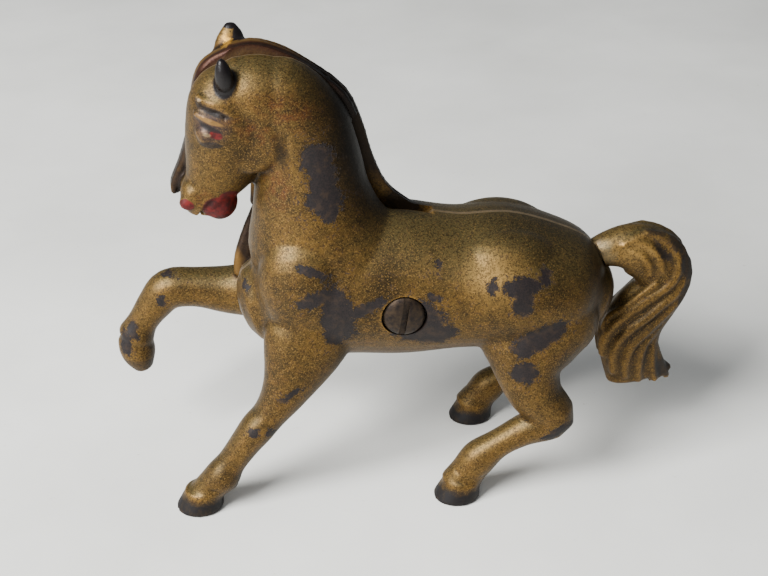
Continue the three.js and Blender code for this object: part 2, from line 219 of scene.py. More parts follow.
# Creases round the pasterns, given with y away from the middle plane.
PASTERN_GROOVE = 0.5
LEFT_PASTERNS = [
    [(-45, 15.5, 8), (-43.4, 18, 6.8), (-40.4, 19, 5.9), (-37.4, 18, 6.2), (-36.2, 15.5, 6.8)],
    [(10.6, 16, 8.4), (12, 18.4, 7.4), (14.4, 19, 6.4), (17, 18.2, 6.6), (18.4, 16, 7.4)],
]
RIGHT_PASTERNS = [[(x + 6.6, y, z - 0.2) for x, y, z in LEFT_PASTERNS[1]]]

# Locks over the right side of the neck, crest to tip.
LOCKS = [
    [(-26, 4, 95.5), (-27, 8.8, 88), (-29, 9, 78), (-29.6, 8.6, 69)],
    [(-21, 4, 93.5), (-24.5, 9.6, 84), (-28, 9.8, 73), (-30.6, 8.6, 62.5)],
    [(-15, 4, 89), (-20, 10.6, 79), (-26.2, 11, 66), (-30.8, 9.4, 56.4), (-33.2, 8.2, 49.6),
     (-34.9, 8.6, 45.4)],
    [(-12, 4, 84), (-16, 11.4, 73), (-21, 13, 62), (-26.6, 13, 52)],
    [(-9.5, 4, 77), (-11, 12, 67), (-14.6, 14.6, 58), (-19.5, 15.2, 50)],
]

FORELOCK = [
    (-30, 2, 100, 2.2, 1.4),
    (-34.6, 2.2, 98.8, 2.2, 1.3),
    (-38.9, 2.5, 96.1, 2.2, 1.3),
    (-40.8, 2.8, 91.6, 2.2, 1.3),
    (-41.6, 3.2, 86.4, 2.2, 1.3),
    (-43.1, 3.8, 79.6, 2, 1.3),
    (-45, 4.3, 74, 1.7, 1.4),
    (-46.8, 4.4, 69.6, 1.4, 1.2),
    (-46.9, 4.4, 67.8, 0.9, 0.8),
]

# Rounded swellings shared by both sides: place, reach and lean about Y in degrees.
SWELLINGS = [
    ((-37.7, 0, 67.5), (3.7, 4.3, 3.8), 25),      # lower lip
    ((-42.3, 1.4, 70.2), (3.4, 3.7, 3.7), 0),     # muzzle, over the nostril
    ((-19.5, 7.4, 50.6), (11, 8.7, 14), -12),     # shoulder
    ((21, 7, 52.2), (13.6, 8.4, 9.9), 0),         # point of the hip
    ((30.4, 5.6, 43.6), (9.4, 10.6, 11.4), 20),   # buttock
    ((-28.2, 0, 90.3), (10.8, 8.1, 8.9), 14),     # poll, behind the cheek
]

SCREW_AT = (-0.5, 47)                 # x and z of the screw's axis
SEAT_Y = -13.9                        # where the underside of its head sits
RECESS, RECESS_BOSS = 9.6, 13.6       # diameters round the head
BOSS, CLEARANCE, TAPPED = 11, 5.5, 5.2
TIP_Y = 9.5                           # end of the screw
BORE_END = 10.5                       # end of the tapped bore
SLOT_REAR = (6.4, 0, 63.6)            # rear end of the coin slot
SLOT_LEAN = 127                       # direction of the slot, in degrees from +x

# The stage, in metres and degrees: name, place, size and power of each light; what they and
# the camera are turned to, and where the camera stands.
LIGHTS = [("window", (-0.54, -0.40, 0.54), 0.42, 22.5), ("fill", (-0.1, -0.8, 0.6), 0.8, 1.6)]
LIT_PLACE = (0, 0, 0.04)
VIEWED_PLACE = (-0.00365, 0, 0.0452)
VIEW_AZIMUTH, VIEW_ELEVATION = -4, 30


# ---------------------------------------------------------------- modelling helpers

def only(obj):
    """Deselects everything else and makes obj the active object."""
    bpy.ops.object.select_all(action="DESELECT")
    obj.select_set(True)
    bpy.context.view_layer.objects.active = obj


def spline(rows, steps):
    """Rows of numbers on a centripetal curve through the given ones, the first three a place."""
    rows = np.array(rows, float)
    rows = np.vstack([2 * rows[0] - rows[1], rows, 2 * rows[-1] - rows[-2]])
    levels = [[(0, 1), (1, 2), (2, 3)], [(0, 2), (1, 3)], [(1, 2)]]
    made = []
    for i in range(len(rows) - 3):
        four = rows[i:i + 4]
        gaps = np.sqrt(np.linalg.norm(np.diff(four[:, :3], axis=0), axis=1).clip(1e-6))
        knots = np.concatenate([[0], np.cumsum(gaps)])
        for k in range(steps + (i == len(rows) - 4)):
            t = knots[1] + (knots[2] - knots[1]) * k / steps
            points = list(four)
            for spans in levels:
                points = [
                    ((knots[b] - t) * p + (t - knots[a]) * q) / (knots[b] - knots[a])
                    for (a, b), p, q in zip(spans, points, points[1:])
                ]
            made.append(points[0])
    return np.array(made)


def select_rings(obj, sides, rings):
    """Selects whole rings of a loft by their number, in edit mode."""
    mesh = bmesh.from_edit_mesh(obj.data)
    mesh.verts.ensure_lookup_table()
    for part in (mesh.faces, mesh.edges, mesh.verts):
        for p in part:
            p.select = False
    for ring in rings:
        for i in range(ring * sides, (ring + 1) * sides):
            mesh.verts[i].select = True
    mesh.select_flush(True)
    bmesh.update_edit_mesh(obj.data)


def loft(stations, sides=24, steps=4, cap=(0.6, 0.6)):
    """A closed tube through the stations: a circle added and resized at each, bridged to the last."""
    rows = spline([list(s) + [s[-1]] * (6 - len(s)) for s in stations], steps)
    places = rows[:, :3]
    along = np.gradient(places, axis=0)
    rings = [(p, t, r, 1.0, 0.0) for p, t, r in zip(places, along, rows[:, 3:])]
    for end, at, way in ((0, 0, -1), (1, -1, 1)):
        reach = cap[end] * min(rows[at, 3], (rows[at, 4] + rows[at, 5]) / 2)
        for c in (0.45, 0.8, 0.97):
            ring = (places[at], along[at], rows[at, 3:], math.sqrt(1 - c * c), way * c * reach)
            rings.insert(0 if end == 0 else len(rings), ring)
    obj = None
    for k, (place, tangent, (across, rise, drop), shrink, push) in enumerate(rings):
        forward = Vector(tangent).normalized()
        side = (Vector((0, 1, 0)) - forward * forward.y).normalized()
        deep = forward.cross(side)
        turn = Matrix((side, deep, forward)).transposed()
        centre = (Vector(place) + forward * push + deep * (rise - drop) / 2 * shrink) * MM
        bpy.ops.mesh.primitive_circle_add(
            vertices=sides, radius=across * shrink * MM, location=centre, rotation=turn.to_euler()
        )
        if obj is None:
            obj = bpy.context.object
            bpy.ops.object.transform_apply(location=True, rotation=True, scale=True)
            bpy.ops.object.mode_set(mode="EDIT")
            bpy.ops.mesh.select_all(action="SELECT")
        bpy.ops.transform.resize(
            value=(1, (rise + drop) / 2 / across, 1), orient_type="GLOBAL", orient_matrix=turn,
            orient_matrix_type="GLOBAL", center_override=centre,
        )
        if k:
            select_rings(obj, sides, (k - 1, k))
            bpy.ops.mesh.bridge_edge_loops()
    for ring in (0, len(rings) - 1):
        select_rings(obj, sides, (ring,))
        bpy.ops.mesh.edge_face_add()
    bpy.ops.mesh.select_all(action="SELECT")
    bpy.ops.mesh.normals_make_consistent(inside=False)
    bpy.ops.object.mode_set(mode="OBJECT")
    return obj


def applied(obj, scale=(1, 1, 1)):
    """A primitive given its size, with its place and turn moved into the mesh."""
    only(obj)
    obj.scale = scale
    bpy.ops.object.transform_apply(location=True, rotation=True, scale=True)
    return obj


def ball(place, reach, lean=0, segments=32):
    """A sphere stretched to its reach and leant about Y, in millimetres and degrees."""
    bpy.ops.mesh.primitive_uv_sphere_add(
        segments=segments, ring_count=segments // 2, radius=MM, location=Vector(place) * MM,
        rotation=(0, math.radians(lean), 0),
    )
    return applied(bpy.context.object, reach)


def block(low, high):
    """A box between two corners, in millimetres."""
    low, high = Vector(low), Vector(high)
    bpy.ops.mesh.primitive_cube_add(size=MM, location=(low + high) / 2 * MM)
    return applied(bpy.context.object, high - low)


def bar(diameter, y0, y1, at=SCREW_AT):
    """A round bar along Y between two values of y, at x and z."""
    bpy.ops.mesh.primitive_cylinder_add(
        vertices=64, radius=diameter / 2 * MM, depth=(y1 - y0) * MM,
        location=Vector((at[0], (y0 + y1) / 2, at[1])) * MM, rotation=(math.radians(-90), 0, 0),
    )
    return applied(bpy.context.object)


def cheek():
    """The round jaw, a thick disc proud at its rear, sinking into the head at its front."""
    half, rear, narrowing = 8.4, -24.4, 0.021
    disc = bar(14.4, -half, half, (-31.2, 83.1))
    for vertex in disc.data.vertices:
        vertex.co.y *= 1 - narrowing * max(rear - vertex.co.x / MM, 0)
    return apply_modifier(disc, "BEVEL", width=2.4 * MM, segments=5, limit_method="ANGLE",
                          angle_limit=math.radians(60))


def join(objects):
    """Several meshes as one object, parts still overlapping."""
    bpy.ops.object.select_all(action="DESELECT")
    for o in objects:
        o.select_set(True)
    bpy.context.view_layer.objects.active = objects[0]
    bpy.ops.object.join()
    return bpy.context.object


def apply_modifier(obj, kind, **settings):
    only(obj)
    modifier = obj.modifiers.new(kind.title(), kind)
    for name, value in settings.items():
        setattr(modifier, name, value)
    bpy.ops.object.modifier_apply(modifier=modifier.name)
    return obj


def fuse(objects, voxel, rounds, creases=()):
    """Overlapping parts melted into one skin, the joins rounded as sand casting leaves them."""
    obj = apply_modifier(join(objects), "REMESH", mode="VOXEL", voxel_size=voxel)
    apply_modifier(obj, "SMOOTH", factor=0.5, iterations=rounds)
    for width, route in creases:
        boolean(obj, strand(route, width), "DIFFERENCE")
    if creases:
        apply_modifier(obj, "REMESH", mode="VOXEL", voxel_size=voxel)
        apply_modifier(obj, "SMOOTH", factor=0.5, iterations=2)
    return obj


def boolean(obj, tool, operation):
    """One cut, union or intersection; the tool is used up."""
    apply_modifier(obj, "BOOLEAN", operation=operation, solver="MANIFOLD", object=tool)
    bpy.data.objects.remove(tool)
    return obj


def copy_of(obj):
    twin = obj.copy()
    twin.data = obj.data.copy()
    bpy.context.scene.collection.objects.link(twin)
    return twin


def cut_at_floor(obj):
    """Cuts away what lies under the floor."""
    return boolean(obj, block((-100, -50, -20), (100, 50, 0)), "DIFFERENCE")


# ---------------------------------------------------------------- parts of the horse

def strand(route, width, steps=3):
    """A round tube of hair through the route, thinner at both ends."""
    last = len(route) - 1
    rows = [(*p, *(2 * [width * (0.75 if i in (0, last) else 1)])) for i, p in enumerate(route)]
    return loft(rows, sides=10, steps=steps)


def grooves(side):
    """Width and route of every crease of one side, cut after the parts are fused."""
    pasterns = LEFT_PASTERNS if side < 0 else RIGHT_PASTERNS
    lines = CREASES + [(PASTERN_GROOVE, route) for route in pasterns]
    return [(width, [mirrored(p, side) for p in route]) for width, route in lines]


def mirrored(place, side):
    """A place given with y away from the middle plane, put on one side."""
    return (place[0], side * place[1], place[2])


def core(side):
    """Barrel, neck and head with the swellings of one side."""
    parts = [
        loft(BARREL, sides=40), loft(NECK, sides=36), loft(HEAD, sides=36, cap=(0.6, 0.5)),
        cheek(),
    ]
    return parts + [ball(mirrored(p, side), r, lean) for p, r, lean in SWELLINGS]


def face(side):
    """Brow, eyelids, eye, nostril rim and ear of one side."""
    def on(points):
        return [mirrored(p, side) for p in points]

    lid = on([(-41.4, 5.6, 89.4), (-39.6, 6.5, 88.9), (-37.6, 7.1, 87.7), (-35.4, 7.3, 86)])
    brow = on([(-40.6, 4.9, 93), (-38.6, 6.1, 91.6), (-36.2, 6.8, 91.2), (-33.6, 7, 89.4)])
    lower = on([(-41.2, 6, 85.8), (-40.2, 6.7, 83.9), (-38.2, 7.2, 83.2), (-36, 7.5, 83.8)])
    ear = [
        (-34.6, side * 5.5, 94.2, 1.3, 1.3), (-34.9, side * 5.9, 95.8, 1.9, 1.9),
        (-35.2, side * 6.2, 98.5, 1.6, 1.6), (-35.4, side * 6.4, 100.5, 0.7, 0.8),
    ]
    if side > 0:
        ear = [
            (-34.2, side * 4.6, 94.5, 2.4, 3.8), (-34, side * 5.6, 98.6, 2.0, 3.4),
            (-33.8, side * 6.3, 101.4, 1.6, 2.5), (-33.9, side * 6.7, 103.1, 0.9, 1.3),
        ]
    return [
        strand(lid, 0.75), strand(brow, 0.8), strand(lower, 0.5),
        ball((-38.8, side * 6.1, 85.4), (2, 1.6, 1.3), 15),
        ball((-40.2, side * 5.6, 92), (0.9, 0.9, 0.8)),
        loft(ear, sides=16),
        ball((-44, side * 3.4, 68.9), (1.9, 1.6, 1.6)),
    ]


def hoof(x, y):
    """A standing hoof: a cone that leans back from the toe, with the coronet round its top."""
    lean, height, oval = 1.3, 4.6, (1.04, 0.96, 1)
    bpy.ops.mesh.primitive_cone_add(
        vertices=40, radius1=5.1 * MM, radius2=4.0 * MM, depth=height * MM,
        location=Vector((x, y, height / 2)) * MM,
    )
    cone = applied(bpy.context.object, oval)
    for vertex in cone.data.vertices:
        vertex.co.x += lean * vertex.co.z / height
    bpy.ops.mesh.primitive_torus_add(
        major_segments=40, minor_segments=12, major_radius=3.7 * MM, minor_radius=0.6 * MM,
        location=Vector((x + lean, y, height - 0.1)) * MM,
    )
    return [cone, applied(bpy.context.object, oval)]


def hollow(settings):
    """The coin chamber: barrel, neck and head again, less the wall."""
    wall = settings.wall / MM

    def inset(rows, by):
        return [(*r[:3], r[3] - by, r[4] - by, r[-1] - by) for r in rows]

    parts = [
        loft(inset(BARREL[1:-1], wall), sides=28, cap=(0.1, 0.1)),
        loft(inset(NECK, wall + 0.8), sides=20),
        loft(inset(HEAD[:-2], wall), sides=16),
    ]
    solid = parts[0]
    for p in parts[1:]:
        boolean(solid, p, "UNION")
    return solid


def crest_routes(places):
    """Widths and centre lines that run along the crest at the given places."""
    rows = spline([r[:3] for r in MANE_ROLL], 2)
    along = np.gradient(rows, axis=0)
    along /= np.linalg.norm(along, axis=1)[:, None]
    outward = np.stack([-along[:, 2], np.zeros(len(rows)), along[:, 0]], 1)
    return [(width, [tuple(p) for p in rows[::2] + outward[::2] * out + np.array([0, over, 0])])
            for out, over, width in places]


def on_tail(route, width, side):
    """A strand's points laid on one rounded face of the tail, and moved in from its edges."""
    rows = spline(TAIL, 8)
    along = np.gradient(rows[:, (0, 2)], axis=0)
    along /= np.linalg.norm(along, axis=1)[:, None]
    made = []
    for point in np.array(route, float):
        at = np.argmin(np.linalg.norm(rows[:, (0, 2)] - point, axis=1))
        outer = np.array([-along[at, 1], along[at, 0]])
        off = (point - rows[at, (0, 2)]) @ outer
        kept = off
        if point[1] > TAIL_FAN:
            kept = np.clip(off, -rows[at, 5] + width * 0.7, rows[at, 4] - width * 0.7)
        reach = rows[at, 4] if kept > 0 else rows[at, 5]
        lift = rows[at, 3] * math.sqrt(max(1 - (kept / reach) ** 2, 0)) - width * STRAND_SUNK
        x, z = point + outer * (kept - off)
        made.append((x, rows[at, 1] + side * max(lift, 0), z))
    return made


def tail_routes():
    """Width and centre line of every strand on both faces of the tail."""
    return [(width, on_tail(route, width, side))
            for width, route in TAIL_STRANDS for side in (-1, 1)]


def tail(settings):
    """The tail with strands on both faces, trimmed clear of the left casting's rump."""
    parts = [loft(TAIL, sides=28, cap=(0.6, 0.5)), loft(TAIL_FLARE, sides=16, cap=(0.6, 0.2))]
    parts += [strand(route, width, steps=2) for width, route in tail_routes()]
    obj = fuse(parts, settings.voxel, 3)
    gap, widening = 0.5, 4
    wide = [(x, y, z, across * widening, rise + gap, drop + gap)
            for x, y, z, across, rise, drop in BARREL]
    near = loft(wide, sides=40, cap=(0.15, 0.2))
    boolean(near, block((-120, 0.1, -20), (120, 90, 140)), "DIFFERENCE")
    return boolean(obj, near, "DIFFERENCE")


def coin_slot(settings):
    """The cutter for the coin slot, leaning along the crest."""
    run = settings.slot_length / MM
    lean = math.radians(SLOT_LEAN)
    centre = Vector(SLOT_REAR) + Vector((math.cos(lean), 0, math.sin(lean))) * run / 2
    bpy.ops.mesh.primitive_cube_add(size=MM, location=centre * MM, rotation=(0, -lean, 0))
    return applied(bpy.context.object, (run, settings.slot_width / MM, 18))


def finish_casting(obj, settings, side):
    """Hollows one side's casting, adds its bosses and cuts its bores and slot."""
    outer = copy_of(obj)
    boolean(obj, hollow(settings), "DIFFERENCE")
    if side < 0:
        bosses = [bar(RECESS_BOSS, SEAT_Y - 1, SEAT_Y + 3), bar(BOSS, SEAT_Y, -0.5)]
        bores = [bar(RECESS, SEAT_Y - 6, SEAT_Y + 0.3), bar(CLEARANCE, SEAT_Y - 6, 1)]
    else:
        bosses = [bar(BOSS, 0.5, -SEAT_Y)]
        bores = [bar(TAPPED, -1, BORE_END)]
    boss = bosses[0]
    for b in bosses[1:]:
        boolean(boss, b, "UNION")
    boolean(boss, outer, "INTERSECT")
    boolean(obj, boss, "UNION")
    for bore in bores:
        boolean(obj, bore, "DIFFERENCE")
    boolean(obj, coin_slot(settings), "DIFFERENCE")
    return obj


def parted(obj, settings, side):
    """What lies on one side of the parting plane, less half the seam."""
    seam = settings.seam / MM / 2
    low, high = sorted((-side * 60, side * seam))
    return boolean(obj, block((-120, low, -20), (120, high, 140)), "DIFFERENCE")


def screw_thread(major, depth, pitch, start, end):
    """A closed helical ridge, its section a triangle spun about the screw's axis."""
    per_turn, half, sunk = 24, 0.45, 0.15
    root = major / 2 - depth - sunk
    points = [(root, -half), (major / 2, 0), (root, half)]
    steps = int((end - start) / pitch * per_turn)
    rings = []
    for i in range(steps + 1):
        angle = 2 * math.pi * i / per_turn
        fade = min(1, 2 * i / per_turn, 2 * (steps - i) / per_turn)
        for out, along in points:
            radius = root + (out - root) * fade
            rings.append((SCREW_AT[0] + radius * math.cos(angle),
                          start + (i / per_turn + along) * pitch,
                          SCREW_AT[1] + radius * math.sin(angle)))
    faces = [(2, 1, 0), tuple(3 * steps + k for k in (0, 1, 2))]
    for i in range(steps):
        for k in range(3):
            a, b = 3 * i + k, 3 * i + (k + 1) % 3
            faces.append((a, b, b + 3, a + 3))
    mesh = bpy.data.meshes.new("thread")
    mesh.from_pydata([Vector(p) * MM for p in rings], [], faces)
    made = bpy.data.objects.new("thread", mesh)
    bpy.context.scene.collection.objects.link(made)
    only(made)
    bpy.ops.object.mode_set(mode="EDIT")
    bpy.ops.mesh.select_all(action="SELECT")
    bpy.ops.mesh.normals_make_consistent(inside=False)
    bpy.ops.object.mode_set(mode="OBJECT")
    return made


def cavity(obj, rounds):
    """Stores how far each point lies under or over its smoothed neighbourhood, in millimetres."""
    mesh = obj.data
    count = len(mesh.vertices)
    co, normal = np.zeros(count * 3), np.zeros(count * 3)
    mesh.vertices.foreach_get("co", co)
    mesh.vertices.foreach_get("normal", normal)
    edges = np.zeros(len(mesh.edges) * 2, int)
    mesh.edges.foreach_get("vertices", edges)
    a, b = edges.reshape(-1, 2).T
    co = co.reshape(-1, 3) / MM
    links = np.bincount(np.concatenate([a, b]), minlength=count).clip(1)[:, None]
    soft = co.copy()
    for _ in range(rounds):
        total = np.zeros_like(soft)
        for axis in range(3):
            total[:, axis] = (np.bincount(a, soft[b, axis], count)
                              + np.bincount(b, soft[a, axis], count))
        soft = (soft + total / links) / 2
    depth = ((soft - co) * normal.reshape(-1, 3)).sum(1)
    store(obj, "cavity", depth)


def store(obj, name, values):
    layer = obj.data.attributes.new(name, "FLOAT", "POINT")
    layer.data.foreach_set("value", np.asarray(values, np.float32))


def hair(obj, routes, reach):
    """Stores 1 on the hair and 0 away from it, from the distance to the strands' centre lines."""
    points = np.concatenate([spline(r, 6)[:, :3] for r in routes])
    tree = KDTree(len(points))
    for i, p in enumerate(points):
        tree.insert(p, i)
    tree.balance()
    found = [tree.find(v.co / MM)[2] for v in obj.data.vertices]
    store(obj, "hair", np.clip((reach - np.array(found)) / 0.6, 0, 1))


def shaded(obj, degrees=38):
    only(obj)
    bpy.ops.object.shade_smooth_by_angle(angle=math.radians(degrees))
    return obj


def placed(obj, name, body, node, material):
    """Names a finished piece, hangs it on its body and lets it stand for its CAD node."""
    obj.name = obj.data.name = name
    obj.data.materials.clear()
    obj.data.materials.append(material)
    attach(obj, body)
    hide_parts(node)
    return obj


# ---------------------------------------------------------------- materials

def srgb(red, green, blue):
    """A colour given as it shows, 0 to 255, as linear values with alpha."""
    def linear(v):
        v /= 255
        return v / 12.92 if v <= 0.04045 else ((v + 0.055) / 1.055) ** 2.4
    return (linear(red), linear(green), linear(blue), 1.0)


class Value:
    """A socket that adds, subtracts and multiplies as a number does."""

    def __init__(self, graph, socket):
        self.graph, self.socket = graph, socket

    def math(self, operation, *inputs, clamp=False):
        made = self.graph.node("ShaderNodeMath", {"operation": operation, "use_clamp": clamp},
                               dict(enumerate(inputs)))
        return made.value()

    def __add__(self, other):
        return self.math("ADD", self, other)

    def __sub__(self, other):
        return self.math("SUBTRACT", self, other)

    def __rsub__(self, other):
        return self.math("SUBTRACT", other, self)

    def __mul__(self, other):
        return self.math("MULTIPLY", self, other)

    __radd__, __rmul__ = __add__, __mul__

    def least(self, other):
        return self.math("MINIMUM", self, other)

    def most(self, other):
        return self.math("MAXIMUM", self, other)

    def size(self):
        return self.math("ABSOLUTE", self)

    def ramp(self, low, high):
        """0 below low and 1 above high, straight between; high may be the lower one."""
        return self.math("MULTIPLY", self - low, 1 / (high - low), clamp=True)


class Node:
    """A node just made, whose outputs are had as values."""

    def __init__(self, graph, node):
        self.graph, self.node = graph, node

    def value(self, output=0):
        return Value(self.graph, self.node.outputs[output])


class Graph:
    """A material's nodes."""

    def __init__(self, name):
        self.material = bpy.data.materials.new(name)
        self.material.use_nodes = True
        self.tree = self.material.node_tree
        self.shader = self.tree.nodes["Principled BSDF"]
        place = self.node("ShaderNodeTexCoord").value("Object")
        self.place = self.vector("SCALE", place, scale=1 / MM)

    def node(self, kind, settings=None, inputs=None):
        made = self.tree.nodes.new(kind)
        for name, value in (settings or {}).items():
            setattr(made, name, value)
        for key, value in (inputs or {}).items():
            self.put(made.inputs[key], value)
        return Node(self, made)

    def put(self, socket, value):
        if isinstance(value, Value):
            self.tree.links.new(value.socket, socket)
        else:
            socket.default_value = value

    def vector(self, operation, *inputs, scale=None, output=0):
        made = self.node("ShaderNodeVectorMath", {"operation": operation}, dict(enumerate(inputs)))
        if scale is not None:
            made.node.inputs["Scale"].default_value = scale
        return made.value(output)

    def axes(self, vector):
        made = self.node("ShaderNodeSeparateXYZ", inputs={0: vector})
        return [made.value(i) for i in range(3)]

    def noise(self, scale, detail=3.0, roughness=0.5, colour=False, stretch=None):
        at = self.vector("MULTIPLY", self.place, stretch) if stretch else self.place
        made = self.node("ShaderNodeTexNoise", inputs={
            "Vector": at, "Scale": scale, "Detail": detail, "Roughness": roughness})
        return made.value("Color" if colour else "Fac")

    def mix(self, factor, a, b, blend="MIX"):
        made = self.node("ShaderNodeMix", {"data_type": "RGBA", "blend_type": blend})
        for socket, value in zip((0, 6, 7), (factor, a, b)):
            self.put(made.node.inputs[socket], value)
        return made.value(2)

    def attribute(self, name):
        return self.node("ShaderNodeAttribute", {"attribute_name": name}).value("Fac")

    def spots(self, spots, at):
        """The least distance to any of several leant ellipsoids, 1 on their surfaces."""
        nearest = None
        for place, reach, lean in spots:
            local = self.node("ShaderNodeMapping", {"vector_type": "TEXTURE"}, {
                "Vector": at, "Location": place, "Rotation": (0, math.radians(lean), 0),
                "Scale": reach}).value()
            away = self.vector("LENGTH", local, output="Value")
            nearest = away if nearest is None else nearest.least(away)
        return nearest

    def bump(self, height, distance, strength=1.0, under=None):
        made = self.node("ShaderNodeBump", inputs={
            "Height": height, "Distance": distance, "Strength": strength})
        if under is not None:
            self.put(made.node.inputs["Normal"], under)
        return made.value()

    def finish(self, **inputs):
        for name, value in inputs.items():
            self.put(self.shader.inputs[name.replace("_", " ")], value)
        return self.material


# Chips of the left side, where the paint is gone down to the dark iron: place, reach, lean.
LEFT_CHIPS = [
    ((-17.6, -9, 80.2), (3.4, 8, 3.4), 0), ((-16.6, -9, 76), (3.1, 8, 3.6), 0),
    ((-16.2, -10, 71.8), (3.8, 8, 3.5), 12), ((-15.4, -11, 69), (2, 8, 1.8), 0),
    ((-19.2, -15, 57.8), (3.6, 6, 0.9), 22),
    ((-18.4, -15, 52.2), (4.6, 6, 1.7), -18), ((-14.2, -15, 47.6), (3.4, 6, 7.2), -8),
    ((-8.2, -15, 49.4), (4.6, 6, 1.4), -24), ((-14.8, -15, 42.4), (2.4, 6, 2), 0),
    ((-24.7, -14, 29.8), (3.5, 6, 0.9), -32), ((-32.6, -16, 20.9), (1.5, 5, 1.1), 0),
    ((-29.2, -16, 20.4), (1.3, 5, 1), 0), ((-33.5, -9, 50.2), (1.2, 6, 1.6), 0),
    ((2.4, -16, 45.2), (5.8, 5, 5.6), 0), ((6, -16, 42), (4.8, 5, 3), -20),
    ((5.6, -16, 51.4), (1.8, 5, 0.8), 0), ((6.6, -16, 57.8), (1, 5, 1.2), 0),
    ((23.8, -17, 53.6), (4, 6, 2.1), 0), ((23.8, -17, 50.6), (2.4, 6, 3.4), 0),
    ((28.8, -17, 55), (1.4, 6, 1.8), 0), ((17.6, -16, 53.6), (1.2, 5, 1.6), 0),
    ((28, -18, 41.6), (6.8, 7, 2.5), -26), ((24.4, -18, 39.2), (2.4, 6, 2), 0),
    ((24.8, -18, 33.8), (2.8, 6, 2.6), 0), ((32.6, -17, 18.2), (4.2, 6, 1.5), -32),
]
# Chips of the right side.
RIGHT_CHIPS = [
    ((-52.6, 8, 45.4), (4.2, 4.6, 1.2), 10), ((-52.6, 8.6, 39.2), (1.2, 3, 1.4), 0),
    ((-59.6, 9, 31.4), (1.4, 3, 2.4), 0), ((-61.6, 9, 28), (1.6, 3, 3.6), 0),
    ((-12, 17, 50), (4, 6, 5.5), 20), ((20, 18, 52), (5.5, 6, 2.6), -20),
    ((30, 18, 40), (3.4, 6, 4.4), 0), ((4, 17, 40), (3.4, 6, 1.8), 10),
    ((-20, 13, 62), (2.6, 5, 3), 0), ((32, 17, 22), (2.2, 5, 1.4), 0),
    ((-44, 17, 41), (2.6, 4, 1.2), 0),
]
# The other marks of the old paint, in the same way.
# Red on nostril, lips and the corner of the eye; rust stains; black ears, gold in the far one.
REDS = [((-44.2, 4.4, 68.9), (1.5, 2.6, 1.25), 20), ((-37.2, 3, 67.4), (4.2, 5, 3.4), 30),
        ((-35.6, 3, 70), (2.2, 5, 2.2), 0), ((-37.2, 8, 85.4), (1.3, 1.8, 0.9), 15)]
RUST = [((-23, -8, 90), (7, 6, 3.4), 14), ((-26, -9, 74), (3.4, 6, 5), 0),
        ((-30, -9, 86), (6, 6, 2.4), 25), ((-40, -5, 70), (2.6, 5, 2.2), 0)]
EARS = [((-35.2, -6.2, 97.2), (2.6, 3.4, 4.7), 0), ((-31.7, 6, 100.6), (1.9, 3.6, 5), 8),
        ((-33.8, 6.4, 103.6), (2.2, 2.4, 1.1), 0)]
EAR_INSIDE = [((-34.6, 4, 100.2), (0.9, 3, 2.2), 0)]
# Bare gold lid, painted highlights on the hip and the tail's root, the dusty root of the tail.
LIDS = [((-38.4, 7.2, 88.3), (3.2, 3, 0.55), 18)]
PAINTED_HIGHLIGHTS = [((18.6, -15, 55), (7.6, 6, 6), 0), ((50, -2, 53.6), (6, 5, 3), -5)]
DUST = [((43.6, -2, 52.4), (2.6, 5, 3.4), 0)]
# Dark lines, dark tint and painted highlights (small glints) about the eye.
EYE_LINES = [((-37.8, 8, 90.1), (4.4, 3, 0.8), 18), ((-40.8, 6.4, 91.6), (1.6, 2.6, 1.1), 50),
             ((-39, 8, 87), (3.4, 2.6, 0.6), 20), ((-38.6, 7.6, 83.2), (2.8, 2.6, 0.75), 0)]
EYE_TINT = [((-38.8, 7, 87.4), (5, 3.6, 4.6), 15)]
EYE_LIGHT = [((-39, 7.4, 85.5), (0.9, 2, 0.45), 10), ((-40.1, 6.2, 92.3), (0.45, 1.6, 0.35), 0)]
# Painted shade along the nape and the crest, a painted shadow line behind the jaw, and painted shadows
# under the belly and between the limbs.
NAPE_SHADE = [((-8, 0, 82), (16, 14, 21), 10), ((-14, 2, 94), (9, 4, 3.4), 35), ((0.5, 2, 64.6), (8, 6, 4), 30)]
JOWL_SHADOW = [((-24.6, 10, 81.4), (1.5, 5, 5), -8)]
SHADES = [((-4.5, -15, 54), (3.6, 9, 12), 0),
          ((8, -15, 34), (20, 9, 4), 0), ((34, -14, 34), (5, 9, 8), 20), ((-33, -8, 79), (5, 8, 5), 0),
          ((-40, -16, 8), (4, 8, 6), -30), ((28, 0, 62), (16, 16, 4), 12), ((55, -2, 34), (9, 7, 15), 0)]
# Black streaks of the tail, dark hair of forelock and mane, the toe of the raised hoof.
TAIL_DARK = [((54.6, -3, 58.2), (4.8, 5, 1.8), 20), ((60, -3, 55), (4.2, 5, 2), 50),
             ((62.6, -3, 49.2), (1.8, 5, 5), -15), ((62.4, -3, 42), (1.4, 5, 4.4), 15),
             ((56.4, -3, 53), (3.8, 5, 0.9), 52), ((60, -2, 22), (2.2, 5, 3.6), -30)]
DARK_HAIR = [((-43.4, 4.6, 80), (3.4, 3.4, 15), 14), ((-45.8, 4.4, 70), (2.8, 3.6, 6), 0),
             ((-32, 8.5, 56), (5, 4, 17), -20)]
RAISED_TOE = [((-59.6, 12, 21), (5, 6, 3), 0)]


